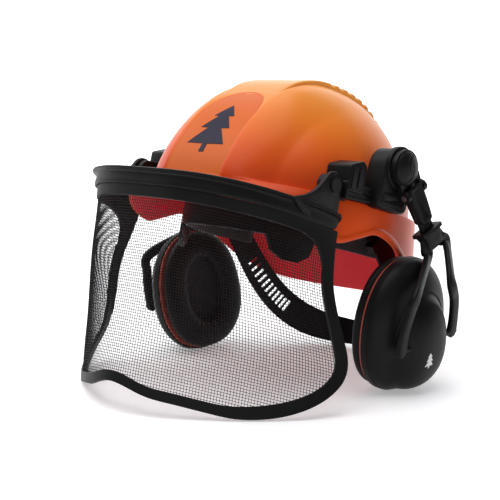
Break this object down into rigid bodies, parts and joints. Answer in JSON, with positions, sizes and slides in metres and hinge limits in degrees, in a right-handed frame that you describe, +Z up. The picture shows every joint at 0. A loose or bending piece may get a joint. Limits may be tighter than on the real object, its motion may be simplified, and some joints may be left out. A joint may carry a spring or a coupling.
{
  "type": "forestry hard hat",
  "caption": "Forestry hard hat with a raised crown band, a swing-up mesh face visor, and cushioned ear muffs on folding arms.",
  "frame": {"origin": "middle of the footprint's bounding box, on the floor", "axes": "+Z up as the hat stands on its visor and ear cups, -Y to the visor, +X to the wearer's left"},
  "size_m": [0.305, 0.3099, 0.2451],
  "materials": {
    "shell_plastic": "glossy orange moulding",
    "black_plastic": "satin black moulding",
    "strap_plastic": "satin black strap",
    "brow_pad": "dark brushed fabric over foam",
    "webbing": "woven webbing",
    "visor_edge": "matt black edging",
    "mesh": "fine black mesh, stood in for by a thin sheet",
    "cup_plastic": "fine-textured black",
    "ring_plastic": "dull orange-red edge",
    "cushion_skin": "soft black skin",
    "foam": "open-cell foam",
    "steel": "pin"
  },
  "bodies": {
    "helmet": {"shell": "shell_plastic", "headband": "black_plastic", "sweatband": "brow_pad", "strap_keepers": "black_plastic", "crown_straps": "webbing", "crown_ring": "black_plastic", "harness_clips": "black_plastic", "visor_bracket_left": "black_plastic", "visor_bracket_right": "black_plastic", "visor_pin_left": "black_plastic", "visor_pin_right": "black_plastic", "muff_bracket_left": "black_plastic", "muff_bracket_right": "black_plastic"},
    "visor": {"visor_band": "black_plastic", "visor_frame": "visor_edge", "visor_mesh": "mesh", "visor_studs": "black_plastic"},
    "nape_strap_body": {"nape_strap": "strap_plastic"},
    "arm_base_left": {"arm_carrier_left": "black_plastic", "arm_cap_left": "black_plastic", "swing_pin_left": "steel"},
    "arm_left": {"arm_stem_left": "black_plastic"},
    "fork_left": {"yoke_left": "black_plastic", "yoke_pivots_left": "steel"},
    "muff_left": {"cup_shell_left": "cup_plastic", "cup_ring_left": "ring_plastic", "cushion_left": "cushion_skin", "cup_foam_left": "foam"},
    "arm_base_right": {"arm_carrier_right": "black_plastic", "arm_cap_right": "black_plastic", "swing_pin_right": "steel"},
    "arm_right": {"arm_stem_right": "black_plastic"},
    "fork_right": {"yoke_right": "black_plastic", "yoke_pivots_right": "steel"},
    "muff_right": {"cup_shell_right": "cup_plastic", "cup_ring_right": "ring_plastic", "cushion_right": "cushion_skin", "cup_foam_right": "foam"}
  },
  "joints": [
    {"name": "visor_tilt", "type": "hinge", "parent": "helmet", "child": "visor", "pos_m": [0, -0.02441, 0.16856], "axis": [-1, 0, 0], "range_deg": [0, 80]},
    {"name": "strap_adjust", "type": "slide", "parent": "helmet", "child": "nape_strap_body", "axis": [0, 0.5739, -0.8189], "range_m": [-0.01, 0]},
    {"name": "arm_turn_left", "type": "hinge", "parent": "helmet", "child": "arm_base_left", "pos_m": [0.12, 0.04537, 0.17782], "axis": [1, 0, 0], "range_deg": [-6, 6]},
    {"name": "arm_swing_left", "type": "hinge", "parent": "arm_base_left", "child": "arm_left", "pos_m": [0.125, 0.05318, 0.15941], "axis": [0, -0.9205, -0.3907], "range_deg": [0, 22]},
    {"name": "cup_slide_left", "type": "slide", "parent": "arm_left", "child": "fork_left", "axis": [0.1392, 0.3869, -0.9115], "range_m": [-0.005, 0.014]},
    {"name": "cup_tilt_left", "type": "hinge", "parent": "fork_left", "child": "muff_left", "pos_m": [0.14219, 0.05112, 0.04235], "axis": [0, 0.9954, 0.0958], "range_deg": [-3, 3]},
    {"name": "arm_turn_right", "type": "hinge", "parent": "helmet", "child": "arm_base_right", "pos_m": [-0.12, 0.04537, 0.17782], "axis": [1, 0, 0], "range_deg": [-6, 6]},
    {"name": "arm_swing_right", "type": "hinge", "parent": "arm_base_right", "child": "arm_right", "pos_m": [-0.125, 0.05318, 0.15941], "axis": [0, 0.9205, 0.3907], "range_deg": [0, 22]},
    {"name": "cup_slide_right", "type": "slide", "parent": "arm_right", "child": "fork_right", "axis": [-0.1392, 0.3869, -0.9115], "range_m": [-0.005, 0.014]},
    {"name": "cup_tilt_right", "type": "hinge", "parent": "fork_right", "child": "muff_right", "pos_m": [-0.14219, 0.05112, 0.04235], "axis": [0, 0.9954, 0.0958], "range_deg": [-3, 3]}
  ]
}
